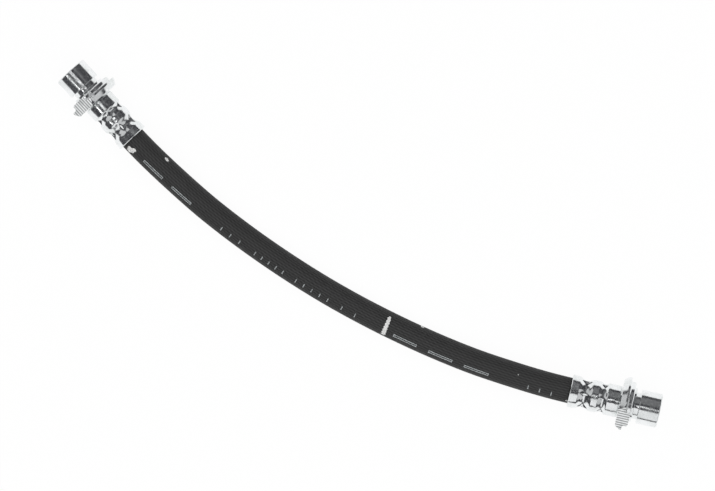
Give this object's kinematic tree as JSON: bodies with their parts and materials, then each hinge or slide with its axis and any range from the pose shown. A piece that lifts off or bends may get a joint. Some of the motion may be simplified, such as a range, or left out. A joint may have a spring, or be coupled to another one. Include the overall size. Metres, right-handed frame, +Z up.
{
  "type": "brake hose",
  "caption": "Rubber hydraulic hose that ends in crimped steel port fittings, each with a clip groove and a flange with a flat, lying in a gentle bow.",
  "frame": {"origin": "on the surface that the hose lies on, under the middle of the box round its two metal ends", "axes": "+X along the straight line from the left end face to the right one, +Z up, and -Y to the side of the hose's bow"},
  "size_m": [0.2794, 0.0371, 0.0217],
  "materials": {
    "hose_rubber": "matt black rubber with a fine cloth-wrap grain",
    "plated_steel": "turned steel with bright zinc plate",
    "plated_ferrule": "pressed steel with bright zinc plate"
  },
  "bodies": {
    "root": {"hose": "hose_rubber", "left_port_fitting": "plated_steel", "right_port_fitting": "plated_steel", "left_crimped_ferrule": "plated_ferrule", "right_crimped_ferrule": "plated_ferrule"}
  },
  "joints": []
}
